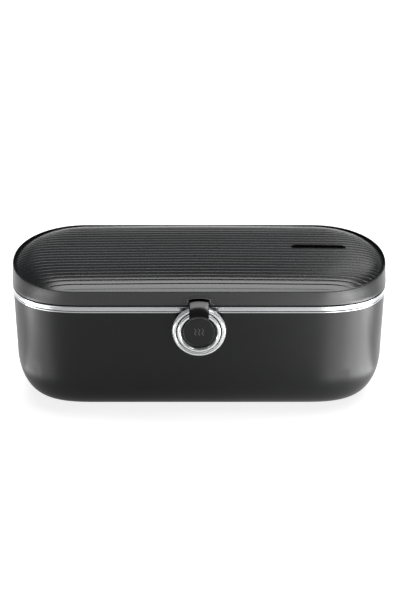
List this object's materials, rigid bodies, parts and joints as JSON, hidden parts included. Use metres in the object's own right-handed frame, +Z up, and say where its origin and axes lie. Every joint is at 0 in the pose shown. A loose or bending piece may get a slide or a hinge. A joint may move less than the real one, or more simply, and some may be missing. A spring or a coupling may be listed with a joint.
{
  "type": "electric lunch box",
  "caption": "Slim rounded mains-heated lunch box: ribbed domed lid on rear hinges, bright trim band, front clasp tab over a bright ring with a push button.",
  "frame": {"origin": "on the floor under the middle of the overall box", "axes": "+X to the right along the width, +Y to the rear where the hinges are, +Z up"},
  "size_m": [0.236, 0.1206, 0.0911],
  "materials": {
    "shell_black": "satin moulded",
    "bright_trim": "polished plating on plastic",
    "cover_black": "fine matt",
    "zinc_steel": "zinc plated",
    "foot_rubber": "matt",
    "liner_aluminium": "satin",
    "cast_aluminium": "cast",
    "ceramic_brown": "ceramic in polyimide film",
    "spring_steel": "rolled",
    "bakelite": "moulded",
    "ceramic_white": "glazed",
    "board_green": "solder resist",
    "relay_blue": "moulded",
    "capacitor_black": "sleeve",
    "terminal_green": "moulded",
    "inlet_black": "moulded",
    "contact_brass": "plated",
    "cup_black": "gloss",
    "ring_chrome": "polished",
    "switch_grey": "moulded",
    "nylon_white": "moulded",
    "hinge_black": "fine matt",
    "container_steel": "brushed",
    "lid_black": "satin moulded",
    "panel_black": "satin moulded",
    "gloss_black": "high gloss",
    "liner_white": "food-safe moulded",
    "silicone": "silicone",
    "tab_black": "gloss",
    "button_black": "fine matt"
  },
  "bodies": {
    "base": {"body_shell": "shell_black", "trim_band": "bright_trim", "base_cover": "cover_black", "base_screws": "zinc_steel", "rubber_feet": "foot_rubber", "heated_liner": "liner_aluminium", "heating_plate": "cast_aluminium", "ptc_heaters": "ceramic_brown", "heater_clamp": "spring_steel", "clamp_screws": "zinc_steel", "thermostat": "bakelite", "thermal_fuse": "ceramic_white", "control_board": "board_green", "board_screws": "zinc_steel", "relay": "relay_blue", "capacitors": "capacitor_black", "terminal_block": "terminal_green", "power_inlet": "inlet_black", "inlet_pins": "contact_brass", "button_housing": "cup_black", "housing_nut": "cover_black", "bezel_ring": "ring_chrome", "power_switch": "switch_grey", "switch_cap": "nylon_white", "hinge_brackets": "hinge_black", "hinge_pins": "zinc_steel", "bracket_screws": "zinc_steel", "food_container": "container_steel"},
    "lid": {"lid_frame": "lid_black", "top_panel": "panel_black", "vent_insert": "gloss_black", "lid_liner": "liner_white", "lid_gasket": "silicone", "steam_valve": "silicone", "lid_screws": "zinc_steel", "hinge_arms": "hinge_black", "arm_screws": "zinc_steel", "clasp_housing": "lid_black", "clasp_pin": "zinc_steel"},
    "clasp": {"clasp_tab": "tab_black"},
    "button": {"push_button": "button_black", "switch_plunger": "nylon_white"}
  },
  "joints": [
    {"name": "lid_hinge", "type": "hinge", "parent": "base", "child": "lid", "pos_m": [0, 0.0569, 0.0764], "axis": [-1, 0, 0], "range_deg": [0, 100]},
    {"name": "clasp_hinge", "type": "hinge", "parent": "lid", "child": "clasp", "pos_m": [0, -0.051, 0.0788], "axis": [-1, 0, 0], "range_deg": [0, 45]},
    {"name": "button_press", "type": "slide", "parent": "base", "child": "button", "axis": [0, 1, 0], "range_m": [0, 0.0015], "stiffness_N_per_m": 400, "springref_m": -0.0015}
  ]
}
